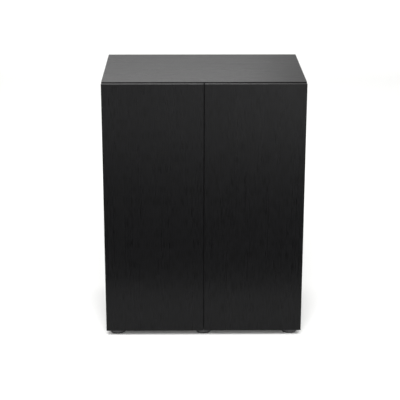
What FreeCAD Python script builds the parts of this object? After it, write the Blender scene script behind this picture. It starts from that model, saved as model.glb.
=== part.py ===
import FreeCAD, Part
import math
import os
from types import SimpleNamespace

import Sketcher

# Aquarium stand cabinet, in millimetres.
# The origin is at the middle of the footprint on the floor: X to the right seen from the
# front, Y to the rear, Z up. Every position below is in this one frame.

Vector = FreeCAD.Vector
Rotation = FreeCAD.Rotation
document = FreeCAD.newDocument("aquarium_stand")

# ---------------------------------------------------------------- driving dimensions

DIMENSIONS = {
    # cabinet
    "cab_width": 600.0,
    "cab_depth": 418.5,
    "cab_height": 800.0,
    "board": 16.0,
    "board_radius": 0.4,
    "door_radius": 1.0,
    "door_gap": 2.5,
    "middle_gap": 2.0,
    "door_drop": 2.5,
    "foot_rise": 20.0,
    # shelf and its pins
    "shelf_underside": 400.0,
    "shelf_front": -169.0,
    "shelf_rear": 179.0,
    "shelf_play": 1.0,
    "row_setback": 37.0,
    "rear_row": 144.0,
    "row_pitch": 32.0,
    "pin_radius": 2.5,
    "row_hole_depth": 12.0,
    # notches in the back panel
    "notch_centre": 146.0,
    "hose_notch_width": 110.0,
    "hose_notch_height": 60.0,
    "cable_notch_width": 80.0,
    "cable_notch_height": 40.0,
    "notch_radius": 12.0,
    # knock-down joints
    "cam_radius": 7.4,
    "cam_bore_radius": 7.5,
    "cam_bore_depth": 12.5,
    "cam_setback": 34.0,
    "bolt_bore_radius": 4.0,
    "thread_radius": 2.5,
    "thread_depth": 11.5,
    "dowel_radius": 4.0,
    "dowel_short": 11.5,
    "dowel_long": 18.5,
    "hole_play": 0.03,
    "front_cam": -134.0,
    "rear_cam": 149.0,
    "dowel_step": 32.0,
    "back_cam_low": 200.0,
    "back_cam_high": 600.0,
    # concealed hinges, measured in plan from the side panel's inner front corner
    "hinge_low": 122.0,
    "hinge_high": 695.0,
    "arm_pin_u": -7.8,
    "arm_pin_v": -10.6,
    "cup_pin_u": 15.5,
    "cup_pin_v": -8.6,
    "hinge_pin_radius": 1.2,
    "running_play": 0.05,
    "cup_centre": 5.5,
    "cup_bore_radius": 17.5,
    "cup_depth": 11.5,
    "cup_wall": 0.6,
    "cup_screw_offset": 9.5,
    "cup_screw_spread": 24.0,
    "plate_screw_spread": 16.0,
    "hook_half": 1.4,
    "hook_reach": 7.5,
    "hook_height": 4.0,
    "eye_radius": 2.2,
    "link_height": 8.6,
    "link_slot": 4.6,
    "knuckle_radius": 2.6,
    # push latches
    "latch_centre": 26.0,
    "latch_width": 20.0,
    "latch_height": 13.0,
    "latch_length": 75.0,
    "plunger_radius": 4.5,
    "magnet_radius": 3.5,
    # adjustable feet
    "foot_radius": 25.0,
    "foot_column": 267.0,
    "front_foot_row": -164.0,
    "rear_foot_row": 182.5,
    "sole_radius": 22.5,
    "sole_height": 3.0,
    "spigot_radius": 6.0,
    "stem_radius": 4.0,
    "stem_length": 14.0,
    "insert_radius": 6.0,
    "insert_length": 14.0,
}

sheet = document.addObject("Spreadsheet::Sheet", "Sizes")
for row, (word, value) in enumerate(DIMENSIONS.items(), start=1):
    sheet.set("A{}".format(row), word)
    sheet.set("B{}".format(row), str(value))
    sheet.setAlias("B{}".format(row), word)
document.recompute()


class Size:
    """A number that keeps the sheet formula it comes from."""

    def __init__(self, value, formula):
        self.value = value
        self.formula = formula

    def __add__(self, other):
        return Size(self.value + number(other), "({} + {})".format(self.formula, formula(other)))

    def __radd__(self, other):
        return self + other

    def __sub__(self, other):
        return Size(self.value - number(other), "({} - {})".format(self.formula, formula(other)))

    def __rsub__(self, other):
        return self * -1 + other

    def __mul__(self, other):
        return Size(self.value * number(other), "({} * {})".format(self.formula, formula(other)))

    def __rmul__(self, other):
        return self * other

    def __truediv__(self, other):
        return Size(self.value / number(other), "({} / {})".format(self.formula, formula(other)))

    def __neg__(self):
        return self * -1


def number(size):
    return size.value if isinstance(size, Size) else float(size)


def formula(size):
    return size.formula if isinstance(size, Size) else repr(float(size))


S = SimpleNamespace(**{word: Size(value, "Sizes." + word) for word, value in DIMENSIONS.items()})

# levels that many pieces share
HALF_WIDTH = S.cab_width / 2
INNER = HALF_WIDTH - S.board
FRONT = S.board + S.door_gap - S.cab_depth / 2
REAR = S.cab_depth / 2
BACK_FACE = REAR - S.board
DOOR_BACK = S.board - S.cab_depth / 2
FLOOR_LOW = S.foot_rise
FLOOR_TOP = S.foot_rise + S.board
ROOF_LOW = S.cab_height - S.board
HALF_BOARD = S.board / 2
ROW_FRONT = FRONT + S.row_setback
LATCH_LEVEL = ROOF_LOW - S.latch_height / 2

# ---------------------------------------------------------------- helpers

AXES = "xyz"
# for each axis: the origin plane square to it, and which way that plane's normal points
PLANES = {"x": ("YZ_Plane", 1), "y": ("XZ_Plane", -1), "z": ("XY_Plane", 1)}
CORNERS = {}
PIECES = {}


def bind(thing, path, size):
    """Drive one property from the sheet."""
    thing.setExpression(path, formula(size))


def place(thing, position, rotation=None):
    """Put a piece at a position given by three sizes."""
    if rotation is not None:
        thing.Placement = FreeCAD.Placement(Vector(*[number(p) for p in position]), rotation)
    for axis, size in zip(AXES, position):
        bind(thing, "Placement.Base." + axis, size)


def new_body(name, corner=(0, 0, 0), rotation=None, exported=True):
    """A body whose own origin stands at the corner."""
    body = document.addObject("PartDesign::Body", name)
    body.Label = name
    place(body, corner, rotation)
    CORNERS[body.Name] = corner if rotation is None else (0, 0, 0)
    if exported:
        PIECES[name] = body
    return body


def across(body, axis, level):
    """An empty sketch square to the axis at that level."""
    role, sense = PLANES[axis]
    plane = [item for item in body.Origin.OriginFeatures if item.Role == role][0]
    sketch = body.newObject("Sketcher::SketchObject", body.Name + "_sketch")
    sketch.AttachmentSupport = [(plane, "")]
    sketch.MapMode = "FlatFace"
    own_level = level - CORNERS[body.Name][AXES.index(axis)]
    bind(sketch, "AttachmentOffset.Base.z", own_level * sense)
    return sketch


def flat(body, axis, spot):
    """A spot in the sketch's own two coordinates."""
    rest = [index for index in range(3) if AXES[index] != axis]
    corner = CORNERS[body.Name]
    return [spot[0] - corner[rest[0]], spot[1] - corner[rest[1]]]


def fix_point(sketch, geometry, point, spot, word):
    """Hold one sketch point at its two coordinates."""
    for kind, size in zip(("DistanceX", "DistanceY"), spot):
        index = sketch.addConstraint(
            Sketcher.Constraint(kind, -1, 1, geometry, point, number(size)))
        if isinstance(size, Size):
            label = "{}_{}".format(word, kind[-1].lower())
            sketch.renameConstraint(index, label)
            bind(sketch, "Constraints." + label, size)


def polygon(body, axis, level, spots):
    """A closed outline through the spots."""
    sketch = across(body, axis, level)
    corners = [flat(body, axis, spot) for spot in spots]
    count = len(corners)
    ends = [Vector(number(first), number(second), 0) for first, second in corners]
    for index in range(count):
        sketch.addGeometry(Part.LineSegment(ends[index], ends[(index + 1) % count]))
    for index in range(count):
        sketch.addConstraint(Sketcher.Constraint("Coincident", index, 2, (index + 1) % count, 1))
    for index in range(count):
        fix_point(sketch, index, 1, corners[index], "corner{}".format(index))
    return sketch


def rectangle(body, axis, level, low, high):
    spots = [(low[0], low[1]), (high[0], low[1]), (high[0], high[1]), (low[0], high[1])]
    return polygon(body, axis, level, spots)


def circles(body, axis, level, spots, radius):
    """Equal circles round the spots."""
    sketch = across(body, axis, level)
    for index, spot in enumerate(spots):
        centre = flat(body, axis, spot)
        middle = Vector(number(centre[0]), number(centre[1]), 0)
        sketch.addGeometry(Part.Circle(middle, Vector(0, 0, 1), number(radius)))
        fix_point(sketch, index, 3, centre, "centre{}".format(index))
        if index:
            sketch.addConstraint(Sketcher.Constraint("Equal", 0, index))
    index = sketch.addConstraint(Sketcher.Constraint("Radius", 0, number(radius)))
    sketch.renameConstraint(index, "radius")
    bind(sketch, "Constraints.radius", radius)
    return sketch


def pad(body, axis, sketch, length, towards=1):
    """Add material from the sketch along the axis."""
    feature = body.newObject("PartDesign::Pad", body.Name + "_pad")
    feature.Profile = sketch
    feature.Reversed = towards != PLANES[axis][1]
    bind(feature, "Length", length)
    document.recompute()
    return feature


def cut(body, axis, sketch, depth, towards):
    """Take material away from the sketch along the axis, and make sure some went."""
    before = body.Shape.Volume
    feature = body.newObject("PartDesign::Pocket", body.Name + "_cut")
    feature.Profile = sketch
    feature.Reversed = towards == PLANES[axis][1]
    bind(feature, "Length", depth)
    document.recompute()
    if not body.Shape.Volume < before - 0.01:
        raise RuntimeError("a cut in {} took nothing away".format(body.Label))
    return feature


def drill(body, axis, level, spots, radius, depth, towards):
    """Round holes from a face."""
    return cut(body, axis, circles(body, axis, level, spots, radius), depth, towards)


def turn(body, axis, profile):
    """Spin a half outline about the sketch's vertical axis."""
    sketch = polygon(body, axis, 0, profile)
    feature = body.newObject("PartDesign::Revolution", body.Name + "_turned")
    feature.Profile = sketch
    feature.ReferenceAxis = (sketch, ["V_Axis"])
    feature.Angle = 360
    document.recompute()
    return feature


def soften(body, radius, choose=None):
    """Round the chosen edges of what the body is so far."""
    base = body.Tip
    names = []
    for index, edge in enumerate(base.Shape.Edges, start=1):
        if choose is None or choose(edge):
            names.append("Edge{}".format(index))
    if not names:
        raise RuntimeError("no edges to round on {}".format(body.Label))
    feature = body.newObject("PartDesign::Fillet", body.Name + "_round")
    feature.Base = (base, names)
    bind(feature, "Radius", radius)
    document.recompute()
    return feature


def edge_runs(edge, axis):
    """Whether an edge is straight along an axis."""
    box = edge.BoundBox
    lengths = {"x": box.XLength, "y": box.YLength, "z": box.ZLength}
    others = [length for word, length in lengths.items() if word != axis]
    return lengths[axis] > 0.5 and max(others) < 0.001


def board(name, axis, low, high, radius):
    """A panel between two opposite corners, thin along the axis."""
    body = new_body(name, low)
    index = AXES.index(axis)
    rest = [other for other in range(3) if other != index]
    sketch = rectangle(body, axis, low[index],
                       [low[other] for other in rest], [high[other] for other in rest])
    pad(body, axis, sketch, high[index] - low[index])
    soften(body, radius)
    return body


def aim(z_axis, x_axis=None):
    """The rotation that takes a piece's own Z, and X where it matters, to these directions."""
    up = Vector(*z_axis)
    if x_axis is None:
        x_axis = (1, 0, 0) if abs(up.x) < 0.5 else (0, 1, 0)
    side = Vector(*x_axis)
    return Rotation(side, up.cross(side), up, "ZXY")


def group(name, master, spots):
    """One node of several separate pieces made like the master."""
    copies = []
    for position, rotation in spots:
        copy = document.addObject("App::Link", name + "_copy")
        copy.LinkedObject = master
        place(copy, position, rotation)
        copies.append(copy)
    compound = document.addObject("Part::Compound", name)
    compound.Label = name
    compound.Links = copies
    document.recompute()
    PIECES[name] = compound
    return compound


def cross_recess(body, level, arm, half_width, depth):
    """A cross-shaped driver recess from the top of a head."""
    outline = [(-half_width, -arm), (half_width, -arm), (half_width, -half_width),
               (arm, -half_width), (arm, half_width), (half_width, half_width),
               (half_width, arm), (-half_width, arm), (-half_width, half_width),
               (-arm, half_width), (-arm, -half_width), (-half_width, -half_width)]
    return cut(body, "z", polygon(body, "z", level, outline), depth, -1)


# ---------------------------------------------------------------- where the joints come

SIDES = (-1, 1)
cam_spots = []
cap_spots = []
bolt_spots = []
dowel_spots = []
bolt_holes = {}
dowel_holes = {}


def note(store, panel, face, spot):
    store.setdefault((panel, face), []).append(spot)


for mate, plane, up in (("bottom_panel", FLOOR_TOP, 1), ("top_panel", ROOF_LOW, -1)):
    for owner, middle, face, into in (("left_side_panel", -INNER - HALF_BOARD, -INNER, -1),
                                      ("right_side_panel", INNER + HALF_BOARD, INNER, 1),
                                      ("centre_partition", Size(0.0, "0.0"), HALF_BOARD, -1)):
        for along, step in ((S.front_cam, S.dowel_step), (S.rear_cam, -S.dowel_step)):
            cam_level = plane + S.cam_setback * up
            bolt_spots.append(((middle, along, plane), aim((0, 0, up))))
            dowel_spots.append(((middle, along + step, plane), aim((0, 0, up))))
            cam_spots.append(((face, along, cam_level), aim((into, 0, 0), (0, 0, -up))))
            cap_spots.append(((face, along, cam_level), aim((-into, 0, 0))))
            note(bolt_holes, mate, "face", (middle, along))
            note(dowel_holes, mate, "face", (middle, along + step))

back_middle = BACK_FACE + HALF_BOARD
for side in SIDES:
    for level, step in ((S.back_cam_low, S.dowel_step), (S.back_cam_high, -S.dowel_step)):
        plane = INNER * side
        cam_x = (INNER - S.cam_setback) * side
        bolt_spots.append(((plane, back_middle, level), aim((-side, 0, 0))))
        dowel_spots.append(((plane, back_middle, level + step), aim((-side, 0, 0))))
        cam_spots.append(((cam_x, BACK_FACE, level), aim((0, 1, 0), (side, 0, 0))))
        cap_spots.append(((cam_x, BACK_FACE, level), aim((0, -1, 0))))

foot_spots = {}
for word, row in (("front", S.front_foot_row), ("rear", S.rear_foot_row)):
    foot_spots["left_" + word] = (-S.foot_column, row)
    foot_spots["centre_" + word] = (Size(0.0, "0.0"), row)
    foot_spots["right_" + word] = (S.foot_column, row)

hinge_levels = (S.hinge_low, S.hinge_high)
shelf_pin_level = S.shelf_underside - S.pin_radius
row_levels = [shelf_pin_level + S.row_pitch * step for step in range(-3, 4)]
row_holes = [(along, level) for along in (ROW_FRONT, S.rear_row) for level in row_levels]
ear_rows = (FRONT + 16.5, FRONT + 61.5)
ear_x = S.latch_centre + S.latch_width / 2 + 5.5

# ---------------------------------------------------------------- carcass boards


def drill_flat_panel(body, level, towards):
    """Bolt and dowel holes in the face of the top or bottom panel."""
    name = body.Label
    drill(body, "z", level, bolt_holes[(name, "face")], S.thread_radius + S.hole_play,
          S.thread_depth, towards)
    drill(body, "z", level, dowel_holes[(name, "face")], S.dowel_radius + S.hole_play,
          S.dowel_short + 0.5, towards)


top_panel = board("top_panel", "z", (-HALF_WIDTH, FRONT, ROOF_LOW),
                  (HALF_WIDTH, REAR, S.cab_height), S.board_radius)
drill_flat_panel(top_panel, ROOF_LOW, 1)
latch_pilots = [(ear_x * side, row) for side in SIDES for row in ear_rows]
drill(top_panel, "z", ROOF_LOW, latch_pilots, 1.5, 11.0, 1)

bottom_panel = board("bottom_panel", "z", (-HALF_WIDTH, FRONT, FLOOR_LOW),
                     (HALF_WIDTH, REAR, FLOOR_TOP), S.board_radius)
drill_flat_panel(bottom_panel, FLOOR_TOP, -1)
drill(bottom_panel, "z", FLOOR_LOW, list(foot_spots.values()),
      S.insert_radius + S.hole_play, S.insert_length + 0.5, 1)


def drill_upright(body, middle, face, into):
    """End holes for bolts and dowels, and the cam bores they meet."""
    cams = []
    for level, up in ((FLOOR_TOP, 1), (ROOF_LOW, -1)):
        bolts = [(middle, S.front_cam), (middle, S.rear_cam)]
        dowels = [(middle, S.front_cam + S.dowel_step), (middle, S.rear_cam - S.dowel_step)]
        drill(body, "z", level, bolts, S.bolt_bore_radius, S.cam_setback, up)
        drill(body, "z", level, dowels, S.dowel_radius + S.hole_play, S.dowel_long + 0.5, up)
        cams.append((S.front_cam, level + S.cam_setback * up))
        cams.append((S.rear_cam, level + S.cam_setback * up))
    drill(body, "x", face, cams, S.cam_bore_radius, S.cam_bore_depth, into)


for side, name in ((-1, "left_side_panel"), (1, "right_side_panel")):
    faces = (INNER * side, HALF_WIDTH * side)
    low_x, high_x = sorted(faces, key=number)
    upright = board(name, "x", (low_x, FRONT, FLOOR_TOP), (high_x, REAR, ROOF_LOW), S.board_radius)
    drill_upright(upright, (INNER + HALF_BOARD) * side, INNER * side, side)
    plate_holes = [(ROW_FRONT, level + S.plate_screw_spread * sign)
                   for level in hinge_levels for sign in SIDES]
    drill(upright, "x", INNER * side, plate_holes, S.pin_radius, S.row_hole_depth, side)
    back_levels = (S.back_cam_low, S.back_cam_high)
    drill(upright, "x", INNER * side, [(back_middle, level) for level in back_levels],
          S.thread_radius + S.hole_play, S.thread_depth, side)
    dowel_levels = (S.back_cam_low + S.dowel_step, S.back_cam_high - S.dowel_step)
    drill(upright, "x", INNER * side, [(back_middle, level) for level in dowel_levels],
          S.dowel_radius + S.hole_play, S.dowel_short + 0.5, side)
    if side < 0:
        drill(upright, "x", -INNER, row_holes, S.pin_radius, S.row_hole_depth, -1)

partition = board("centre_partition", "x", (-HALF_BOARD, FRONT, FLOOR_TOP),
                  (HALF_BOARD, BACK_FACE, ROOF_LOW), S.board_radius)
drill_upright(partition, Size(0.0, "0.0"), HALF_BOARD, -1)
drill(partition, "x", -HALF_BOARD, row_holes, S.pin_radius, S.row_hole_depth, 1)

back_panel = board("back_panel", "y", (-INNER, BACK_FACE, FLOOR_TOP),
                   (INNER, REAR, ROOF_LOW), S.board_radius)
for side in SIDES:
    centre = S.notch_centre * side
    for width, tall, level, up in (
            (S.hose_notch_width, S.hose_notch_height, ROOF_LOW, -1),
            (S.cable_notch_width, S.cable_notch_height, FLOOR_TOP, 1)):
        inner_edge = level + tall * up
        outer_edge = level - 2.0 * up
        sketch = rectangle(back_panel, "y", BACK_FACE,
                           (centre - width / 2, outer_edge), (centre + width / 2, inner_edge))
        cut(back_panel, "y", sketch, S.board, 1)
    for level in (S.back_cam_low, S.back_cam_high):
        drill(back_panel, "x", INNER * side, [(back_middle, level)],
              S.bolt_bore_radius, S.cam_setback, -side)
    for level in (S.back_cam_low + S.dowel_step, S.back_cam_high - S.dowel_step):
        drill(back_panel, "x", INNER * side, [(back_middle, level)],
              S.dowel_radius + S.hole_play, S.dowel_long + 0.5, -side)
back_cams = [((INNER - S.cam_setback) * side, level)
             for side in SIDES for level in (S.back_cam_low, S.back_cam_high)]
drill(back_panel, "y", BACK_FACE, back_cams, S.cam_bore_radius, S.cam_bore_depth, 1)


def is_notch_corner(edge):
    """The two inside corners of each notch."""
    middle = edge.CenterOfMass
    tall = number(ROOF_LOW - FLOOR_TOP)
    top_corner = abs(middle.z - (tall - DIMENSIONS["hose_notch_height"])) < 0.1
    low_corner = abs(middle.z - DIMENSIONS["cable_notch_height"]) < 0.1
    return edge_runs(edge, "y") and (top_corner or low_corner)


soften(back_panel, S.notch_radius, is_notch_corner)

shelf = board("shelf", "z",
              (S.shelf_play - INNER, S.shelf_front, S.shelf_underside),
              (-HALF_BOARD - S.shelf_play, S.shelf_rear, S.shelf_underside + S.board),
              S.board_radius)

# ---------------------------------------------------------------- carcass fittings

pin_master = new_body("shelf_pin_master", exported=False)
turn(pin_master, "y", [(0, -10.0), (S.pin_radius - 0.02, -10.0), (S.pin_radius - 0.02, 0),
                       (S.pin_radius + 1.2, 0), (S.pin_radius + 1.2, 0.8), (S.pin_radius, 0.8),
                       (S.pin_radius, 9.0), (0, 9.0)])
soften(pin_master, 0.5, lambda edge: abs(edge.CenterOfMass.z - 9.0) < 0.01 and edge.Length > 10)
pin_spots = []
for along in (ROW_FRONT, S.rear_row):
    pin_spots.append(((-INNER, along, shelf_pin_level), aim((1, 0, 0))))
    pin_spots.append(((-HALF_BOARD, along, shelf_pin_level), aim((-1, 0, 0))))
group("shelf_pins", pin_master, pin_spots)

cam_master = new_body("cam_master", exported=False)
turn(cam_master, "y", [(0, 0.2), (S.cam_radius, 0.2), (S.cam_radius, 12.3), (0, 12.3)])
cut(cam_master, "z", rectangle(cam_master, "z", 4.2, (-4.5, -3.7), (S.cam_radius + 1, 3.7)), 7.6, 1)
outline = [(-0.8, -4.5), (0.8, -4.5), (0.8, -0.8), (4.5, -0.8), (4.5, 0.8), (0.8, 0.8),
           (0.8, 4.5), (-0.8, 4.5), (-0.8, 0.8), (-4.5, 0.8), (-4.5, -0.8), (-0.8, -0.8)]
cut(cam_master, "z", polygon(cam_master, "z", 0.2, outline), 2.6, 1)
group("cam_locks", cam_master, cam_spots)

cap_master = new_body("cap_master", exported=False)
turn(cap_master, "y", [(0, 0), (S.cam_radius + 1.2, 0), (S.cam_radius + 1.2, 0.7),
                       (S.cam_radius + 0.6, 1.3), (0, 1.3)])
group("cam_caps", cap_master, cap_spots)

bolt_master = new_body("bolt_master", exported=False)
turn(bolt_master, "y", [(0, -11.0), (1.2, -11.0), (S.thread_radius, -9.5), (S.thread_radius, 0),
                        (3.4, 0), (3.4, 1.5), (2.9, 1.5), (2.9, 28.5), (1.9, 29.5), (1.9, 31.5),
                        (3.4, 32.5), (3.4, 35.0), (2.6, 36.0), (0, 36.0)])
group("cam_bolts", bolt_master, bolt_spots)

dowel_master = new_body("dowel_master", exported=False)
turn(dowel_master, "y", [(0, -S.dowel_short), (S.dowel_radius - 1, -S.dowel_short),
                         (S.dowel_radius, 1 - S.dowel_short), (S.dowel_radius, S.dowel_long - 1),
                         (S.dowel_radius - 1, S.dowel_long), (0, S.dowel_long)])
group("wooden_dowels", dowel_master, dowel_spots)

insert_master = new_body("insert_master", exported=False)
insert_bore = S.stem_radius + S.running_play
turn(insert_master, "y", [(insert_bore, 0), (S.insert_radius, 0), (S.insert_radius, S.insert_length - 1),
                          (S.insert_radius - 1, S.insert_length), (insert_bore, S.insert_length)])
group("foot_inserts", insert_master,
      [((x, y, FLOOR_LOW), aim((0, 0, 1))) for x, y in foot_spots.values()])

# ---------------------------------------------------------------- concealed hinges

# Each master stands in the left hinge's frame: X from the side panel's inner face into the
# cabinet, Y back from the carcass front, Z from the hinge's mid-height. Half a turn about Y
# makes the right hinge, since every piece is the same above and below its mid-height.

HALF_TURN = Rotation(Vector(0, 1, 0), 180)
UPRIGHT = Rotation()


def hinge_frames(side, u=0, v=0):
    """Row positions of a point of the hinge frame, one per hinge on that side."""
    return [((INNER - u) * side, FRONT + v, level) for level in hinge_levels]


def hinge_turn(side):
    return UPRIGHT if side < 0 else HALF_TURN


SIDE_NAMES = ((-1, "left"), (1, "right"))
RAIL_HALF = 6.7
RAIL_TOP = 9.6
WEB_LOW = 10.0
WEB_TOP = 11.5
ADJUSTERS = (16.0, 46.0)

plate_master = new_body("hinge_plate_master", exported=False)
pad(plate_master, "x", rectangle(plate_master, "x", 0, (30.5, -24.5), (43.5, 24.5)), 2.4)
soften(plate_master, 4.0, lambda edge: edge_runs(edge, "x"))
pad(plate_master, "x", rectangle(plate_master, "x", 0, (9.0, -RAIL_HALF), (60.0, RAIL_HALF)), RAIL_TOP)
drill(plate_master, "x", 2.4, [(S.row_setback, S.plate_screw_spread * sign) for sign in SIDES],
      S.pin_radius + 0.1, 2.4, -1)
drill(plate_master, "x", RAIL_TOP, [(v, 0) for v in ADJUSTERS], 2.05, 8.0, -1)

arm_master = new_body("hinge_arm_master", exported=False)
hook_low = S.hook_height / -2
near = S.arm_pin_v + S.hook_half
far = S.arm_pin_v - S.hook_half
hook_outline = [(S.arm_pin_u, far), (S.hook_reach + S.hook_half, far),
                (S.hook_reach + S.hook_half, 6.0), (S.hook_reach - S.hook_half, 6.0),
                (S.hook_reach - S.hook_half, near), (S.arm_pin_u, near)]
pad(arm_master, "z", polygon(arm_master, "z", hook_low, hook_outline), S.hook_height)
arm_pin = (S.arm_pin_u, S.arm_pin_v)
cup_pin = (S.cup_pin_u, S.cup_pin_v)
pad(arm_master, "z", circles(arm_master, "z", hook_low, [arm_pin], S.eye_radius), S.hook_height)
soften(arm_master, 1.2, lambda edge: edge_runs(edge, "z") and edge.CenterOfMass.x > 5
       and edge.CenterOfMass.y < 0)
pad(arm_master, "z", rectangle(arm_master, "z", -8.5, (2.7, 5.0), (WEB_TOP, 66.0)), 17.0)
cut(arm_master, "z", rectangle(arm_master, "z", -7.0, (0, 6.6), (WEB_LOW, 70.0)), 14.0, 1)
soften(arm_master, 1.0, lambda edge: edge_runs(edge, "y") and abs(edge.CenterOfMass.x - WEB_TOP) < 0.01)
drill(arm_master, "x", WEB_TOP, [(v, 0) for v in ADJUSTERS], 2.2, 1.6, -1)
drill(arm_master, "z", hook_low, [arm_pin], S.hinge_pin_radius + 0.02, S.hook_height, 1)

link_master = new_body("outer_link_master", exported=False)
link_low = S.link_height / -2
reach = math.hypot(number(cup_pin[0] - arm_pin[0]), number(cup_pin[1] - arm_pin[1]))
slant = math.degrees(math.atan2(number(cup_pin[1] - arm_pin[1]), number(cup_pin[0] - arm_pin[0])))
pad(link_master, "z", rectangle(link_master, "z", link_low, (0, -2.0), (reach, 2.0)), S.link_height)
pad(link_master, "z", circles(link_master, "z", link_low, [(0, 0)], S.eye_radius), S.link_height)
pad(link_master, "z", circles(link_master, "z", link_low, [(reach, 0)], S.knuckle_radius), S.link_height)
cut(link_master, "z", rectangle(link_master, "z", S.link_slot / -2, (-4.0, -4.0), (18.2, 4.0)),
    S.link_slot, 1)
drill(link_master, "z", link_low, [(0, 0), (reach, 0)],
      S.hinge_pin_radius + S.running_play, S.link_height, 1)

cup_master = new_body("hinge_cup_master", exported=False)
cup_outer = S.cup_bore_radius - 0.05
cup_inner = cup_outer - S.cup_wall
cup_floor = S.cup_wall - S.cup_depth
turn(cup_master, "z", [(0, -S.cup_depth), (cup_outer, -S.cup_depth), (cup_outer, 0),
                       (cup_outer + 0.8, 0), (cup_outer + 0.8, 1.0), (cup_inner, 1.0),
                       (cup_inner, cup_floor), (0, cup_floor)])
wing = rectangle(cup_master, "y", 0, (S.cup_screw_offset - 6.5, -30.0), (S.cup_screw_offset + 6.5, 30.0))
pad(cup_master, "y", wing, 1.0)
soften(cup_master, 4.0, lambda edge: edge_runs(edge, "y") and abs(edge.CenterOfMass.z) > 29)
drill(cup_master, "y", 1.0, [(0, 0)], cup_inner, 1.0 - cup_floor, -1)
lug_x = S.cup_pin_u - S.cup_centre
lug_y = S.cup_pin_v + S.door_gap
for low in (-7.5, 5.0):
    lug = rectangle(cup_master, "z", low, (lug_x - 3, cup_floor - 0.2), (lug_x + 3, lug_y + 2.3))
    pad(cup_master, "z", lug, 2.5)
drill(cup_master, "y", 1.0, [(S.cup_screw_offset, S.cup_screw_spread * sign) for sign in SIDES],
      2.1, 1.0, -1)
drill(cup_master, "z", -7.5, [(lug_x, lug_y)], S.hinge_pin_radius + 0.02, 15.0, 1)

arm_pin_master = document.addObject("Part::Cylinder", "arm_pin_master")
bind(arm_pin_master, "Radius", S.hinge_pin_radius)
arm_pin_master.Height = 9.2
cup_pin_master = document.addObject("Part::Cylinder", "cup_pin_master")
bind(cup_pin_master, "Radius", S.hinge_pin_radius)
cup_pin_master.Height = 15.6

plate_screw_master = new_body("plate_screw_master", exported=False)
turn(plate_screw_master, "y", [(0, -13.0), (1.0, -13.0), (S.pin_radius - 0.02, -11.0),
                               (S.pin_radius - 0.02, 0), (5.0, 0), (5.0, 1.2), (3.6, 2.4), (0, 2.4)])
cross_recess(plate_screw_master, 2.4, 2.4, 0.5, 1.6)

adjuster_master = new_body("adjuster_master", exported=False)
turn(adjuster_master, "y", [(0, -9.0), (2.0, -9.0), (2.0, 0), (3.6, 0), (3.6, 1.2), (2.8, 2.0), (0, 2.0)])
cross_recess(adjuster_master, 2.0, 1.9, 0.45, 1.3)

cup_screw_master = new_body("cup_screw_master", exported=False)
turn(cup_screw_master, "y", [(0, -11.0), (0.3, -11.0), (1.58, -8.5), (1.58, 0), (3.5, 0),
                             (3.5, 0.5), (2.2, 1.3), (0, 1.3)])
cross_recess(cup_screw_master, 1.3, 1.5, 0.35, 0.9)

plate_screw_spots = []
adjuster_spots = []
arm_pin_spots = []
for side, word in SIDE_NAMES:
    spin = hinge_turn(side)
    group(word + "_hinge_plates", plate_master, [(spot, spin) for spot in hinge_frames(side)])
    group(word + "_hinge_arms", arm_master, [(spot, spin) for spot in hinge_frames(side)])
    for x, y, z in hinge_frames(side, 2.4, S.row_setback):
        for sign in SIDES:
            plate_screw_spots.append(((x, y, z + S.plate_screw_spread * sign), aim((-side, 0, 0))))
    for v in ADJUSTERS:
        for spot in hinge_frames(side, WEB_TOP, v):
            adjuster_spots.append((spot, aim((-side, 0, 0))))
    for x, y, z in hinge_frames(side, *arm_pin):
        arm_pin_spots.append(((x, y, z - 4.6), UPRIGHT))
    link_turn = spin.multiply(Rotation(Vector(0, 0, 1), slant))
    group(word + "_outer_links", link_master,
          [(spot, link_turn) for spot in hinge_frames(side, *arm_pin)])
    group(word + "_hinge_cups", cup_master,
          [(spot, spin) for spot in hinge_frames(side, S.cup_centre, -S.door_gap)])
    group(word + "_cup_pins", cup_pin_master,
          [((x, y, z - 7.8), UPRIGHT) for x, y, z in hinge_frames(side, *cup_pin)])
    cup_screw_spots = []
    for x, y, z in hinge_frames(side, S.cup_centre + S.cup_screw_offset, 1.0 - S.door_gap):
        for sign in SIDES:
            cup_screw_spots.append(((x, y, z + S.cup_screw_spread * sign), aim((0, 1, 0))))
    group(word + "_cup_screws", cup_screw_master, cup_screw_spots)
group("hinge_plate_screws", plate_screw_master, plate_screw_spots)
group("hinge_adjusting_screws", adjuster_master, adjuster_spots)
group("hinge_arm_pins", arm_pin_master, arm_pin_spots)

# ---------------------------------------------------------------- doors

STRIKE_SCREW_LEVEL = LATCH_LEVEL - 13.5
for side, word in SIDE_NAMES:
    edges = sorted((HALF_WIDTH * side, S.middle_gap / 2 * side), key=number)
    door = board(word + "_door", "y", (edges[0], -S.cab_depth / 2, FLOOR_LOW),
                 (edges[1], DOOR_BACK, S.cab_height - S.door_drop), S.door_radius)
    cups = [((INNER - S.cup_centre) * side, level) for level in hinge_levels]
    drill(door, "y", DOOR_BACK, cups, S.cup_bore_radius, S.cup_depth, -1)
    pilots = [((INNER - S.cup_centre - S.cup_screw_offset) * side, level + S.cup_screw_spread * sign)
              for level in hinge_levels for sign in SIDES]
    drill(door, "y", DOOR_BACK, pilots, 1.6, 11.0, -1)
    drill(door, "y", DOOR_BACK, [(S.latch_centre * side, STRIKE_SCREW_LEVEL)], 1.4, 9.0, -1)

# ---------------------------------------------------------------- push latches

strike_screw_master = new_body("strike_screw_master", exported=False)
turn(strike_screw_master, "y", [(0, -9.0), (0.3, -9.0), (1.38, -7.0), (1.38, 0), (2.8, 0),
                                (2.8, 0.4), (1.8, 1.0), (0, 1.0)])
cross_recess(strike_screw_master, 1.0, 1.2, 0.3, 0.7)

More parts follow.
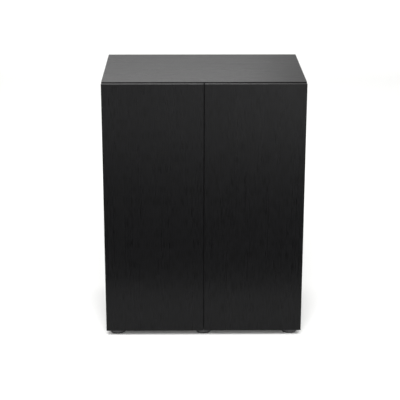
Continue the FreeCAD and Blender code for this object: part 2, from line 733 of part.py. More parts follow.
latch_screw_master = new_body("latch_screw_master", exported=False)
turn(latch_screw_master, "y", [(0, -13.0), (0.4, -13.0), (1.48, -10.5), (1.48, 0), (3.2, 0),
                               (3.2, 0.6), (2.0, 1.8), (0, 1.8)])
cross_recess(latch_screw_master, 1.8, 1.5, 0.35, 1.1)

latch_front = FRONT + 1.0
latch_low = ROOF_LOW - S.latch_height
tip = FRONT - 0.7
latch_screw_spots = []
for side, word in SIDE_NAMES:
    centre = S.latch_centre * side
    half = S.latch_width / 2
    housing = new_body(word + "_push_latch_housing")
    block = rectangle(housing, "y", latch_front, (centre - half, latch_low), (centre + half, ROOF_LOW))
    pad(housing, "y", block, S.latch_length)
    soften(housing, 2.5, lambda edge: edge_runs(edge, "y") and edge.CenterOfMass.z < number(latch_low) + 1)
    for row in ear_rows:
        ear_ends = sorted(((S.latch_centre + half - 1) * side, (S.latch_centre + half + 11) * side),
                          key=number)
        ear = rectangle(housing, "z", ROOF_LOW, (ear_ends[0], row - 6), (ear_ends[1], row + 6))
        pad(housing, "z", ear, 3.0, -1)
    drill(housing, "z", ROOF_LOW - 3.0, [(ear_x * side, row) for row in ear_rows], 1.7, 3.0, 1)
    drill(housing, "y", latch_front, [(centre, LATCH_LEVEL)], S.plunger_radius + S.running_play,
          S.latch_length - 3.0, 1)
    for row in ear_rows:
        latch_screw_spots.append(((ear_x * side, row, ROOF_LOW - 3.0), aim((0, 0, -1))))

    outwards = aim((0, -1, 0))
    plunger = new_body(word + "_latch_plunger", (centre, tip, LATCH_LEVEL), outwards)
    turn(plunger, "y", [(0, -68.0), (3.5, -68.0), (S.plunger_radius, -67.0), (S.plunger_radius, -0.6),
                        (S.plunger_radius - 0.4, 0), (S.magnet_radius + 0.05, 0),
                        (S.magnet_radius + 0.05, -3.5), (0, -3.5)])
    magnet = document.addObject("Part::Cylinder", word + "_latch_magnet")
    magnet.Label = word + "_latch_magnet"
    bind(magnet, "Radius", S.magnet_radius)
    magnet.Height = 3.9
    place(magnet, (centre, tip + 3.5, LATCH_LEVEL), outwards)
    PIECES[magnet.Label] = magnet

    strike = new_body(word + "_strike_plate")
    strike_sheet = rectangle(strike, "y", DOOR_BACK, (centre - 9, LATCH_LEVEL - 20.5),
                             (centre + 9, LATCH_LEVEL + 9.5))
    pad(strike, "y", strike_sheet, 1.0)
    soften(strike, 3.0, lambda edge: edge_runs(edge, "y"))
    drill(strike, "y", DOOR_BACK + 1.0, [(centre, STRIKE_SCREW_LEVEL)], 1.6, 1.0, -1)
    group(word + "_strike_screw", strike_screw_master,
          [((centre, DOOR_BACK + 1.0, STRIKE_SCREW_LEVEL), aim((0, 1, 0)))])
group("push_latch_screws", latch_screw_master, latch_screw_spots)

# ---------------------------------------------------------------- adjustable feet

FLUTES = 18
KNOB_TOP = S.foot_rise - 0.4
for word, (x, y) in foot_spots.items():
    sole = new_body("foot_sole_" + word, (x, y, 0))
    CORNERS[sole.Name] = (0, 0, 0)
    turn(sole, "y", [(0, 0), (S.sole_radius - 0.8, 0), (S.sole_radius, 0.8), (S.sole_radius, S.sole_height),
                     (S.spigot_radius, S.sole_height), (S.spigot_radius, 9.0), (0, 9.0)])

    foot = new_body("foot_screw_" + word, (x, y, 0))
    CORNERS[foot.Name] = (0, 0, 0)
    recess = S.spigot_radius + S.running_play
    low = S.sole_height + 0.3
    turn(foot, "y", [(recess, low), (S.foot_radius - 1.0, low), (S.foot_radius, low + 1.0),
                     (S.foot_radius, 13.0), (S.foot_radius - 4.0, 17.0), (14.0, 17.5), (12.0, KNOB_TOP),
                     (S.stem_radius, KNOB_TOP), (S.stem_radius, KNOB_TOP + S.stem_length - 1),
                     (S.stem_radius - 1, KNOB_TOP + S.stem_length), (0, KNOB_TOP + S.stem_length),
                     (0, 9.5), (recess, 9.5)])
    flute = drill(foot, "z", low, [(S.foot_radius + 1.1, 0)], 2.2, 18.0, 1)
    pattern = foot.newObject("PartDesign::PolarPattern", foot.Name + "_flutes")
    pattern.Originals = [flute]
    spin_axis = [item for item in foot.Origin.OriginFeatures if item.Role == "Z_Axis"][0]
    pattern.Axis = (spin_axis, [""])
    pattern.Angle = 360
    pattern.Occurrences = FLUTES
    foot.Tip = pattern
    document.recompute()

# ---------------------------------------------------------------- checks and files

document.recompute()
for item in document.Objects:
    if "Invalid" in item.State or "Error" in item.State:
        raise RuntimeError("{} did not rebuild".format(item.Label))

os.makedirs("parts", exist_ok=True)
for name, piece in PIECES.items():
    shape = piece.Shape
    if shape.isNull() or not shape.isValid():
        raise RuntimeError("{} is not a sound solid".format(name))
    shape.exportStep("parts/{}.step".format(name))
    box = shape.BoundBox
    print("{:28s} {:3d} {:12.1f}  {}".format(
        name, len(shape.Solids), shape.Volume,
        " ".join("{:.2f}".format(value) for value in
                 (box.XMin, box.YMin, box.ZMin, box.XMax, box.YMax, box.ZMax))))
print("pieces", len(PIECES))
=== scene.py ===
import math

import bmesh
import bpy
from mathutils import Matrix, Vector


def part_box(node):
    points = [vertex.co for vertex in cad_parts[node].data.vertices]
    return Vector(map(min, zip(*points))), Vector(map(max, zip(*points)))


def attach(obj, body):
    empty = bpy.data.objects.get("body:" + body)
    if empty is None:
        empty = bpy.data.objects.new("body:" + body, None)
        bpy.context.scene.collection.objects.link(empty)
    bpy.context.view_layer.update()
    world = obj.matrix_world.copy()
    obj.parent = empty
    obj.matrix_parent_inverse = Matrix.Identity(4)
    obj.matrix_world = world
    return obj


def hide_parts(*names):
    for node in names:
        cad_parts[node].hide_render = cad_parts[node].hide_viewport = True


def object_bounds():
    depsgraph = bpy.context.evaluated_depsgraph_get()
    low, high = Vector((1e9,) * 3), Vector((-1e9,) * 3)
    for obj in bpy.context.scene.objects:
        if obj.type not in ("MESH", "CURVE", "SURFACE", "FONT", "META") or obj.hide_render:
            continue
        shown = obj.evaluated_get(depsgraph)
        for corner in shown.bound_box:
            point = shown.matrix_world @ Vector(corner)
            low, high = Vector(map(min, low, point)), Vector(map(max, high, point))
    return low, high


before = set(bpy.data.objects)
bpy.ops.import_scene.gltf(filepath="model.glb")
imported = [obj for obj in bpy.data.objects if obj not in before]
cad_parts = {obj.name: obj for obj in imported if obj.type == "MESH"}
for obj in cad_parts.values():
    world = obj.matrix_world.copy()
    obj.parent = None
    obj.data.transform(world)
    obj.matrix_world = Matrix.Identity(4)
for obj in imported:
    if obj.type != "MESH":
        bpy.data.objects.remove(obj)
cadLow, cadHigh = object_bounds()  # the CAD box, before any piece is added
scene = bpy.context.scene
mm = 0.001
tau = 2 * math.pi

# camera, floor and light

camera = {
    "place": (-0.0576, -3.7954, 1.6183),
    "turn": 0.731,  # degrees to the right of straight ahead
    "dip": 18.121,  # degrees below level
    "roll": 0.077,
    "lens": 113.75,  # mm
    "sensor": 36,  # mm wide
    "farthest": 100,
}

studio = {
    "floorSize": 30.0,
    "floorColour": "fbfbfa",
    "sky": 0.54,  # how strongly the white air lights the room
    "backWall": 3.2,  # metres behind the cabinet
    "curveRadius": 0.8,  # where the paper turns up into the wall
    "curveSteps": 8,
    "paperTop": 0.95,
    "flagNear": -0.62,  # dark sheet on the floor in front, which only the gloss of the doors shows: painted shade in their reflection
    "flagFar": -2.3,
    "flagHalf": 1.6,
    "flagHeight": 0.002,
    "flagColour": "262626",
}

softboxes = {  # place, aimed at, width, height, watts
    "keyBox": ((-0.1, -3.0, 3.4), (0.0, 0.6, 0.0), 3.6, 2.0, 245),
    "frontBox": ((0.0, -4.6, 1.7), (0.0, 0.0, 0.1), 4.0, 1.6, 60),
    "backBox": ((-0.4, 3.0, 2.42), (-0.1, 0.0, 0.8), 1.75, 1.2, 16),
    "rightBox": ((0.75, -3.2, 0.35), (0.25, -0.2, 0.7), 0.8, 0.8, 6),
    "wallBox": ((0.0, 1.4, 3.2), (0.0, 4.0, 0.0), 4.0, 0.8, 20),
}


def hexColour(code):  # sRGB hex to linear
    parts = [int(code[at:at + 2], 16) / 255 for at in (0, 2, 4)]
    linear = [part / 12.92 if part <= 0.04045 else ((part + 0.055) / 1.055) ** 2.4
              for part in parts]
    return linear + [1.0]


def addNode(tree, kind, settings=None, links=None):
    made = tree.nodes.new(kind)
    for name, value in (settings or {}).items():
        if isinstance(name, str) and hasattr(made, name):
            setattr(made, name, value)
        else:
            made.inputs[name].default_value = value
    for name, source in (links or {}).items():
        tree.links.new(source, made.inputs[name])
    return made


def newMaterial(name, settings):  # one Principled shader, uniform values on its own sockets
    made = bpy.data.materials.new(name)
    made.use_nodes = True
    tree = made.node_tree
    tree.nodes.clear()
    shader = addNode(tree, "ShaderNodeBsdfPrincipled", settings)
    addNode(tree, "ShaderNodeOutputMaterial", links={"Surface": shader.outputs["BSDF"]})
    return made, tree, shader


def placeCamera(look):
    lens = bpy.data.cameras.new("camera")
    lens.lens = look["lens"]
    lens.sensor_width = look["sensor"]
    lens.clip_end = look["farthest"]
    holder = bpy.data.objects.new("camera", lens)
    scene.collection.objects.link(holder)
    turn = Matrix.Rotation(-math.radians(look["turn"]), 4, "Z")
    dip = Matrix.Rotation(math.radians(90 - look["dip"]), 4, "X")
    roll = Matrix.Rotation(math.radians(look["roll"]), 4, "Z")
    holder.matrix_world = Matrix.Translation(look["place"]) @ turn @ dip @ roll
    scene.camera = holder


def makeStudio(look):
    mesh = bpy.data.meshes.new("studioSweep")
    bm = bmesh.new()
    half = look["floorSize"] / 2
    wall = cadHigh.y + look["backWall"]
    profile = [bm.verts.new((-half, -half, 0)), bm.verts.new((-half, wall, 0))]
    curve = look["curveRadius"]
    for step in range(1, look["curveSteps"] + 1):
        angle = math.pi / 2 * step / look["curveSteps"]
        along, up = wall + curve * math.sin(angle), curve - curve * math.cos(angle)
        profile.append(bm.verts.new((-half, along, up)))
    profile.append(bm.verts.new((-half, wall + curve, look["paperTop"])))
    edges = [bm.edges.new(pair) for pair in zip(profile, profile[1:])]
    swept = bmesh.ops.extrude_edge_only(bm, edges=edges)
    moved = [part for part in swept["geom"] if isinstance(part, bmesh.types.BMVert)]
    bmesh.ops.translate(bm, verts=moved, vec=(look["floorSize"], 0, 0))
    bmesh.ops.recalc_face_normals(bm, faces=bm.faces)
    for face in bm.faces:
        face.smooth = True
    bm.to_mesh(mesh)
    bm.free()
    sweep = bpy.data.objects.new("studioSweep", mesh)
    scene.collection.objects.link(sweep)
    # matt white background paper: evenly pale, no gloss
    paper = newMaterial("backgroundPaper", {"Base Color": hexColour(look["floorColour"]),
                                            "Roughness": 0.9, "Specular IOR Level": 0.0})[0]
    mesh.materials.append(paper)

    # painted shade in the doors' reflection: a dark sheet on the floor in front, seen by nothing but
    # glossy rays
    reflectionShadeMesh = bpy.data.meshes.new("blackFlag")
    bm = bmesh.new()
    corners = [(-1, "flagNear"), (1, "flagNear"), (1, "flagFar"), (-1, "flagFar")]
    bm.faces.new([bm.verts.new((side * look["flagHalf"], look[edge], look["flagHeight"]))
                  for side, edge in corners])
    bmesh.ops.recalc_face_normals(bm, faces=bm.faces)
    bm.to_mesh(reflectionShadeMesh)
    bm.free()
    reflectionShadeObject = bpy.data.objects.new("blackFlag", reflectionShadeMesh)
    scene.collection.objects.link(reflectionShadeObject)
    # painted reflection shade: a dark sheet without any gloss, which darkens only what the doors
    # reflect
    reflectionShade = newMaterial("blackFlagCloth", {"Base Color": hexColour(look["flagColour"]),
                                           "Roughness": 1.0, "Specular IOR Level": 0.0})[0]
    reflectionShadeMesh.materials.append(reflectionShade)
    # camera, diffuse light and shadows pass through it, so it only paints a darker reflection into the
    # doors
    reflectionShadeObject.visible_camera = False
    reflectionShadeObject.visible_diffuse = False
    reflectionShadeObject.visible_shadow = False

    world = bpy.data.worlds.new("studioAir")
    world.use_nodes = True
    tree = world.node_tree
    seen = addNode(tree, "ShaderNodeLightPath")  # the air looks white, and lights the room more gently
    strength = addNode(tree, "ShaderNodeMapRange", {"To Min": look["sky"], "To Max": 1.0},
                       {"Value": seen.outputs["Is Camera Ray"]})
    tree.nodes["Background"].inputs["Color"].default_value = (1, 1, 1, 1)
    tree.links.new(strength.outputs["Result"], tree.nodes["Background"].inputs["Strength"])
    scene.world = world
    scene.view_settings.view_transform = "Standard"
    scene.view_settings.look = "None"


def placeSoftboxes(boxes):
    for name, (place, aimedAt, width, height, watts) in boxes.items():
        lamp = bpy.data.lights.new(name, "AREA")
        lamp.shape = "RECTANGLE"
        lamp.size = width
        lamp.size_y = height
        lamp.energy = watts
        holder = bpy.data.objects.new(name, lamp)
        holder.location = place
        holder.visible_camera = False
        aim = Vector(aimedAt) - Vector(place)
        holder.rotation_euler = aim.to_track_quat("-Z", "Y").to_euler()
        scene.collection.objects.link(holder)


placeCamera(camera)
makeStudio(studio)
placeSoftboxes(softboxes)
print("studio ready")

# boards

board = {
    "face": "0d0d0e",  # black melamine paper
    "pore": "030303",
    "band": "0c0c0d",  # ABS edge strip
    "chipLight": "b08d62",  # raw particleboard where a hole or notch is cut
    "chipDark": "6d4f31",
    "ior": 1.21,
    "roughness": 0.29,
    "glossierStreak": 0.03,  # how far the streaks stray from the roughness, down and up
    "dullerStreak": 0.035,
    "bandRoughness": 0.33,
    "coreRoughness": 0.9,
    "poreWidth": 1.5 * mm,  # twice the real width, so that the grain still shows from across a room
    "poreLength": 34 * mm,
    "poreEdge": (0.36, 0.52),  # noise values from the floor of a pore to the open face
    "streakWidth": 7 * mm,
    "streakLength": 330 * mm,
    "bandThickness": 1.0 * mm,
    "jointWidth": 0.14 * mm,
    "rimKept": 1.6 * mm,  # a side face further in than this is cut board, so it shows the core
    "chipSize": 1.6 * mm,
    "poreRelief": 0.35,  # against the joint of the band, which is 1
    "bandRelief": 0.3,
    "reliefStrength": 0.7,
    "reliefDepth": 0.09 * mm,
}


def melamineBoard(node, thin, grain, look):
    # Melamine-faced chipboard: printed paper pressed in resin against a textured plate, which
    # gives a dark even satin with fine long pores. Its edges are glued ABS strip, plainer and a
    # little duller, with a hairline joint. Holes and notches show the raw particleboard.
    name = node.replace("_", " ").title().replace(" ", "")
    made, tree, shader = newMaterial("melamine" + name,
                                     {"IOR": look["ior"], "Roughness": look["roughness"]})
    low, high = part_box(node)
    spot = addNode(tree, "ShaderNodeTexCoord")
    pores = [1 / look["poreWidth"]] * 3
    streaks = [1 / look["streakWidth"]] * 3
    pores[grain] = 1 / look["poreLength"]
    streaks[grain] = 1 / look["streakLength"]
    shift = [0.37 * sum(low) + 1.7 * thin] * 3  # each board is cut from another part of the sheet
    fine = addNode(tree, "ShaderNodeMapping", {"Location": shift, "Scale": pores},
                   {"Vector": spot.outputs["Object"]})
    coarse = addNode(tree, "ShaderNodeMapping", {"Location": shift, "Scale": streaks},
                     {"Vector": spot.outputs["Object"]})
    poreNoise = addNode(tree, "ShaderNodeTexNoise", {"Scale": 1.0, "Detail": 2.0, "Roughness": 0.6},
                        {"Vector": fine.outputs["Vector"]})
    streakNoise = addNode(tree, "ShaderNodeTexNoise", {"Scale": 1.0, "Detail": 3.0, "Roughness": 0.65},
                          {"Vector": coarse.outputs["Vector"]})
    poreFloor, poreFace = look["poreEdge"]
    poreDepth = addNode(tree, "ShaderNodeMapRange", {"From Min": poreFloor, "From Max": poreFace},
                        {"Value": poreNoise.outputs["Fac"]})

    # how far a point is from the board's rim, measured in the plane of the board
    place = addNode(tree, "ShaderNodeSeparateXYZ", links={"Vector": spot.outputs["Object"]})
    lean = addNode(tree, "ShaderNodeSeparateXYZ", links={"Vector": spot.outputs["Normal"]})
    rims = []
    for axis in range(3):
        if axis == thin:
            continue
        middle, half = (low[axis] + high[axis]) / 2, (high[axis] - low[axis]) / 2
        off = addNode(tree, "ShaderNodeMath", {"operation": "SUBTRACT", 1: middle},
                      {0: place.outputs[axis]})
        size = addNode(tree, "ShaderNodeMath", {"operation": "ABSOLUTE"}, {0: off.outputs[0]})
        rims.append(addNode(tree, "ShaderNodeMath", {"operation": "SUBTRACT", 0: half},
                            {1: size.outputs[0]}).outputs[0])
    rim = addNode(tree, "ShaderNodeMath", {"operation": "MINIMUM"}, {0: rims[0], 1: rims[1]})
    facing = addNode(tree, "ShaderNodeMath", {"operation": "ABSOLUTE"}, {0: lean.outputs[thin]})
    sideways = addNode(tree, "ShaderNodeMath", {"operation": "LESS_THAN", 1: 0.4},
                       {0: facing.outputs[0]})
    inside = addNode(tree, "ShaderNodeMath", {"operation": "GREATER_THAN", 1: look["rimKept"]},
                     {0: rim.outputs[0]})
    raw = addNode(tree, "ShaderNodeMath", {"operation": "MULTIPLY"},
                  {0: sideways.outputs[0], 1: inside.outputs[0]})
    onBand = addNode(tree, "ShaderNodeMath", {"operation": "LESS_THAN", 1: look["bandThickness"]},
                     {0: rim.outputs[0]})
    jointGap = addNode(tree, "ShaderNodeMath", {"operation": "SUBTRACT", 1: look["bandThickness"]},
                       {0: rim.outputs[0]})
    jointSize = addNode(tree, "ShaderNodeMath", {"operation": "ABSOLUTE"}, {0: jointGap.outputs[0]})
    joint = addNode(tree, "ShaderNodeMapRange", {"From Min": 0.0, "From Max": look["jointWidth"]},
                    {"Value": jointSize.outputs[0]})

    # colour: paper, then band, then raw core
    paper = addNode(tree, "ShaderNodeMix",
                    {"data_type": "RGBA", 6: hexColour(look["pore"]), 7: hexColour(look["face"])},
                    {0: poreDepth.outputs["Result"]})
    banded = addNode(tree, "ShaderNodeMix", {"data_type": "RGBA", 7: hexColour(look["band"])},
                     {0: onBand.outputs[0], 6: paper.outputs[2]})
    chips = addNode(tree, "ShaderNodeTexVoronoi", {"Scale": 1 / look["chipSize"], "Randomness": 1.0},
                    {"Vector": spot.outputs["Object"]})
    chipDark, chipLight = hexColour(look["chipDark"]), hexColour(look["chipLight"])
    core = addNode(tree, "ShaderNodeMix", {"data_type": "RGBA", 6: chipDark, 7: chipLight},
                   {0: chips.outputs["Color"]})
    colour = addNode(tree, "ShaderNodeMix", {"data_type": "RGBA"},
                     {0: raw.outputs[0], 6: banded.outputs[2], 7: core.outputs[2]})
    tree.links.new(colour.outputs[2], shader.inputs["Base Color"])

    # gloss: long soft streaks in the paper, a plainer band, a dull core
    gloss = addNode(tree, "ShaderNodeMapRange", {"From Min": 0.3, "From Max": 0.7,
                                                 "To Min": look["roughness"] - look["glossierStreak"],
                                                 "To Max": look["roughness"] + look["dullerStreak"]},
                    {"Value": streakNoise.outputs["Fac"]})
    bandGloss = addNode(tree, "ShaderNodeMix", {"data_type": "FLOAT", 3: look["bandRoughness"]},
                        {0: onBand.outputs[0], 2: gloss.outputs["Result"]})
    allGloss = addNode(tree, "ShaderNodeMix", {"data_type": "FLOAT", 3: look["coreRoughness"]},
                       {0: raw.outputs[0], 2: bandGloss.outputs[0]})
    tree.links.new(allGloss.outputs[0], shader.inputs["Roughness"])

    # relief: shallow pores in the paper, a smooth band, and the groove where the band is joined
    poreRelief = addNode(tree, "ShaderNodeMath", {"operation": "MULTIPLY", 1: look["poreRelief"]},
                         {0: poreDepth.outputs["Result"]})
    bandRelief = addNode(tree, "ShaderNodeMix", {"data_type": "FLOAT", 3: look["bandRelief"]},
                         {0: onBand.outputs[0], 2: poreRelief.outputs[0]})
    relief = addNode(tree, "ShaderNodeMath", {"operation": "ADD"},
                     {0: bandRelief.outputs[0], 1: joint.outputs["Result"]})
    bump = addNode(tree, "ShaderNodeBump",
                   {"Strength": look["reliefStrength"], "Distance": look["reliefDepth"]},
                   {"Height": relief.outputs[0]})
    tree.links.new(bump.outputs["Normal"], shader.inputs["Normal"])
    return made


boards = {  # thin axis, grain axis
    "left_door": (1, 2),
    "right_door": (1, 2),
    "top_panel": (2, 0),
    "bottom_panel": (2, 0),
    "left_side_panel": (0, 2),
    "right_side_panel": (0, 2),
    "centre_partition": (0, 2),
    "back_panel": (1, 2),
    "shelf": (2, 0),
}
for node, (thin, grain) in boards.items():
    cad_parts[node].material_slots[0].material = melamineBoard(node, thin, grain, board)
print("boards finished")

# finishes of the fittings

finishes = {  # base, other tone, metallic, IOR, roughness, its spread, grain in mm, relief in mm
    "mouldedAbs": ("141415", "0e0e0f", 0, 1.5, 0.42, 0.08, 0.6, 0.03),
    "mouldedNylon": ("333335", "242426", 0, 1.5, 0.38, 0.1, 0.9, 0.04),
    "soleRubber": ("111111", "1a1a1a", 0, 1.5, 0.78, 0.1, 0.7, 0.06),
    "nickelPlatedSteel": ("c8c2b8", "beb8ae", 1, 1.5, 0.25, 0.04, 1.4, 0.005),
    "zincPlatedSteel": ("c3c8cc", "b3bac4", 1, 1.5, 0.31, 0.06, 1.1, 0.006),
    "zincCasting": ("a3a5a6", "8b8d8f", 1, 1.5, 0.5, 0.1, 0.5, 0.03),
    "turnedBeech": ("d0a77b", "b98c60", 0, 1.45, 0.6, 0.08, 0.5, 0.05),
    "magnetNickel": ("d2d0cb", "c8c6c1", 1, 1.5, 0.18, 0.04, 1.8, 0.003),
}

patches = {
    "size": 14 * mm,  # cloudy patches, besides the fine grain
    "edge": (0.75, 1.25),  # summed noise values from one tone to the other
    "reliefStrength": 0.6,
}


def fittingFinish(name, grainStretch=(1, 1, 1)):
    # Moulded plastics: dyed through, sparked mould grain, so an even satin with faint flow marks.
    # Rubber: vulcanised in a plain mould, dull with a greyish bloom. Plated steel: bright metal
    # with the slight orange peel of the sheet and cloudy patches in the plating. Cast zinc: duller
    # and grainier. Beech: sawn and turned, with short darker flecks along the grain.
    base, other, metallic, ior, roughness, spread, grain, depth = finishes[name]
    settings = {"Metallic": metallic, "IOR": ior, "Roughness": roughness}
    made, tree, shader = newMaterial(name, settings)
    spot = addNode(tree, "ShaderNodeTexCoord")
    fine = [1 / (grain * mm * stretch) for stretch in grainStretch]
    place = addNode(tree, "ShaderNodeMapping", {"Scale": fine}, {"Vector": spot.outputs["Object"]})
    grainNoise = addNode(tree, "ShaderNodeTexNoise", {"Scale": 1.0, "Detail": 3.0, "Roughness": 0.6},
                         {"Vector": place.outputs["Vector"]})
    cloudNoise = addNode(tree, "ShaderNodeTexNoise", {"Scale": 1 / patches["size"], "Detail": 2.0},
                         {"Vector": spot.outputs["Object"]})
    mixed = addNode(tree, "ShaderNodeMath", {"operation": "ADD"},
                    {0: grainNoise.outputs["Fac"], 1: cloudNoise.outputs["Fac"]})
    patchFrom, patchTo = patches["edge"]
    amount = addNode(tree, "ShaderNodeMapRange", {"From Min": patchFrom, "From Max": patchTo},
                     {"Value": mixed.outputs[0]})
    colour = addNode(tree, "ShaderNodeMix",
                     {"data_type": "RGBA", 6: hexColour(base), 7: hexColour(other)},
                     {0: amount.outputs["Result"]})
    gloss = addNode(tree, "ShaderNodeMapRange",
                    {"To Min": roughness - spread, "To Max": roughness + spread},
                    {"Value": amount.outputs["Result"]})
    bump = addNode(tree, "ShaderNodeBump",
                   {"Strength": patches["reliefStrength"], "Distance": depth * mm},
                   {"Height": grainNoise.outputs["Fac"]})
    tree.links.new(colour.outputs[2], shader.inputs["Base Color"])
    tree.links.new(gloss.outputs["Result"], shader.inputs["Roughness"])
    tree.links.new(bump.outputs["Normal"], shader.inputs["Normal"])
    return made


slotFinish = {
    "black_plastic": fittingFinish("mouldedAbs"),
    "foot_plastic": fittingFinish("mouldedNylon"),
    "sole_rubber": fittingFinish("soleRubber"),
    "nickel_steel": fittingFinish("nickelPlatedSteel"),
    "zinc_steel": fittingFinish("zincPlatedSteel"),
    "zinc_casting": fittingFinish("zincCasting"),
    "beech": fittingFinish("turnedBeech", (12, 1, 1)),
    "magnet_nickel": fittingFinish("magnetNickel"),
}
for node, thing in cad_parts.items():
    if node not in boards:
        thing.material_slots[0].material = slotFinish[thing.material_slots[0].name]
print("fittings finished")

# pressed and moulded fittings, with their edges eased

eased = {  # body, slot, width of the eased edge in mm
    "left_hinge_plates": ("carcass", "nickel_steel", 0.2),
    "right_hinge_plates": ("carcass", "nickel_steel", 0.2),
    "left_hinge_arms": ("carcass", "nickel_steel", 0.2),
    "right_hinge_arms": ("carcass", "nickel_steel", 0.2),
    "left_hinge_cups": ("left_door_leaf", "nickel_steel", 0.2),
    "right_hinge_cups": ("right_door_leaf", "nickel_steel", 0.2),
    "left_outer_links": ("left_links", "nickel_steel", 0.15),
    "right_outer_links": ("right_links", "nickel_steel", 0.15),
    "left_strike_plate": ("left_door_leaf", "nickel_steel", 0.15),
    "right_strike_plate": ("right_door_leaf", "nickel_steel", 0.15),
    "left_push_latch_housing": ("carcass", "black_plastic", 0.35),
    "right_push_latch_housing": ("carcass", "black_plastic", 0.35),
    "left_latch_plunger": ("left_latch", "black_plastic", 0.25),
    "right_latch_plunger": ("right_latch", "black_plastic", 0.25),
    "shelf_pins": ("carcass", "nickel_steel", 0.2),
    "cam_caps": ("carcass", "black_plastic", 0.2),
}

easing = {
    "mergeWithin": 0.005 * mm,
    "flatWithin": 0.5,  # degrees, below which two triangles become one face
    "easedAbove": 35,  # degrees, and only where the edge stands out
    "smoothBelow": 32,  # degrees, up to which an edge is shaded round
    "segments": 2,
}


def finishMesh(bm, name):
    bmesh.ops.recalc_face_normals(bm, faces=bm.faces)
    for face in bm.faces:
        face.smooth = True
    crease = math.radians(easing["smoothBelow"])
    for edge in bm.edges:
        edge.smooth = len(edge.link_faces) != 2 or edge.calc_face_angle() < crease
    mesh = bpy.data.meshes.new(name)
    bm.to_mesh(mesh)
    bm.free()
    return mesh


def addPiece(mesh, name, body, slot, replaced, offset=None):
    if offset:
        mesh = mesh.copy()
        mesh.transform(Matrix.Translation(offset))
    piece = bpy.data.objects.new(name, mesh)
    scene.collection.objects.link(piece)
    if not mesh.materials:
        mesh.materials.append(slotFinish[slot])
    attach(piece, body)
    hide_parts(replaced)


def easedMesh(node, width):
    bm = bmesh.new()
    bm.from_mesh(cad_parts[node].data)
    bmesh.ops.remove_doubles(bm, verts=bm.verts, dist=easing["mergeWithin"])
    bmesh.ops.dissolve_limit(bm, angle_limit=math.radians(easing["flatWithin"]),
                             verts=bm.verts, edges=bm.edges)
    corner = math.radians(easing["easedAbove"])
    sharp = [edge for edge in bm.edges
             if len(edge.link_faces) == 2 and edge.calc_face_angle() > corner and edge.is_convex]
    bmesh.ops.bevel(bm, geom=sharp, affect="EDGES", offset=width * mm, offset_type="OFFSET",
                    segments=easing["segments"], profile=0.5, material=-1, clamp_overlap=True)
    return finishMesh(bm, node + "Eased")


for node, (body, slot, width) in eased.items():
    words = node.split("_")
    name = words[0] + "".join(word.title() for word in words[1:])
    addPiece(easedMesh(node, width), name, body, slot, node)
print("fittings eased")

# levelling feet

foot = {
    "profile": (  # mm from the axis and mm up, turned into the knob and its stem
        (0, 9.5), (6.2, 9.5), (6.2, 3.3),  # socket for the sole's spigot
        (23.8, 3.3), (24.7, 3.6), (25, 4.5),  # lower edge of the knob
        (25, 12.6), (24.5, 13.4), (21.4, 16.6), (20.4, 17.0),  # its rim, and the slope above
        (14.3, 17.3), (13.6, 17.8), (12.2, 19.3), (11.6, 19.6),  # raised middle
        (3.35, 19.6), (3.35, 32.8), (2.55, 33.6), (0, 33.6),  # stem, the core of the thread
    ),
    "radius": 25,  # mm
    "flutes": 20,
    "stepsPerFlute": 6,
    "fluteDepth": (1.1, 0.8, 0.3),  # mm at the middle of a flute, then towards its edge
    "flutedOutside": 23,  # mm from the axis
}

thread = {  # M8, in mm
    "profile": ((3.25, -0.5), (4.0, -0.07), (4.0, 0.07), (3.25, 0.5)),
    "start": 20.5,
    "pitch": 1.25,
    "turns": 8,
    "stepsPerTurn": 24,
}

sole = {
    "profile": (  # mm from the axis and mm up
        (0, 0.5), (6.4, 0.5), (6.7, 0), (9.3, 0), (9.6, 0.5),  # three ribs that touch the floor
        (10.9, 0.5), (11.2, 0), (13.8, 0), (14.1, 0.5),
        (15.4, 0.5), (15.7, 0), (18.3, 0), (18.6, 0.5),
        (20.2, 0.5), (20.5, 0), (21.6, 0), (22.25, 0.25), (22.5, 0.9),  # rim
        (22.5, 2.6), (22.1, 3.0), (6, 3.0),  # flat top
        (6, 8.4), (5.4, 9.0), (0, 9.0),  # spigot on which the knob turns
    ),
    "steps": 72,
}


def spinProfile(bm, profile, steps):  # turned about Z, closed
    rim = [bm.verts.new((out * mm, 0, up * mm)) for out, up in profile]
    edges = [bm.edges.new(pair) for pair in zip(rim, rim[1:])]
    bmesh.ops.spin(bm, geom=rim + edges, cent=(0, 0, 0), axis=(0, 0, 1), angle=tau, steps=steps,
                   use_merge=True)
    bmesh.ops.remove_doubles(bm, verts=bm.verts, dist=0.002 * mm)


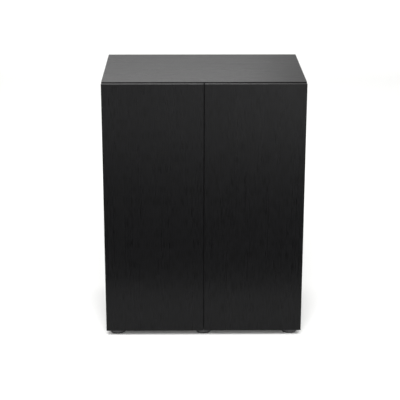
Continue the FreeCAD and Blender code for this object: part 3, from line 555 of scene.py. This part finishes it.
def threadRidge(look):
    bm = bmesh.new()
    corners = [bm.verts.new((out * mm, 0, (look["start"] + up) * mm)) for out, up in look["profile"]]
    edges = [bm.edges.new(pair) for pair in zip(corners, corners[1:] + corners[:1])]
    bmesh.ops.contextual_create(bm, geom=edges)
    rise = look["pitch"] * mm / look["stepsPerTurn"]
    swept = bmesh.ops.spin(bm, geom=corners + edges, cent=(0, 0, 0), axis=(0, 0, 1), dvec=(0, 0, rise),
                           angle=look["turns"] * tau, steps=look["turns"] * look["stepsPerTurn"])
    last = [part for part in swept["geom_last"] if isinstance(part, bmesh.types.BMEdge)]
    bmesh.ops.contextual_create(bm, geom=last)
    ridge = bpy.data.meshes.new("threadRidge")
    bm.to_mesh(ridge)
    bm.free()
    return ridge


def footMesh(look):
    bm = bmesh.new()
    count = look["flutes"] * look["stepsPerFlute"]
    spinProfile(bm, look["profile"], count)
    for away, depth in enumerate(look["fluteDepth"]):  # the finger flutes round the rim
        chosen = []
        for vert in bm.verts:
            around = math.atan2(vert.co.y, vert.co.x) / tau * count
            offset = round(around) % look["stepsPerFlute"]
            nearest = min(offset, look["stepsPerFlute"] - offset)
            if vert.co.xy.length > look["flutedOutside"] * mm and nearest == away:
                chosen.append(vert)
        keep = 1 - depth / look["radius"]
        bmesh.ops.scale(bm, verts=chosen, vec=(keep, keep, 1))
    ridge = threadRidge(thread)
    bm.from_mesh(ridge)
    bpy.data.meshes.remove(ridge)
    return finishMesh(bm, "footScrew")


def soleMesh(look):
    bm = bmesh.new()
    spinProfile(bm, look["profile"], look["steps"])
    return finishMesh(bm, "footSole")


footMaster, soleMaster = footMesh(foot), soleMesh(sole)
for side in ("left", "centre", "right"):
    for end in ("front", "rear"):
        where = side + "_" + end
        low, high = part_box("foot_screw_" + where)
        middle = ((low[0] + high[0]) / 2, (low[1] + high[1]) / 2, 0)
        spot = side.title() + end.title()
        addPiece(footMaster, "footScrew" + spot, "foot_" + where, "foot_plastic",
                 "foot_screw_" + where, middle)
        addPiece(soleMaster, "footSole" + spot, "sole_" + where, "sole_rubber",
                 "foot_sole_" + where, middle)
print("feet built")
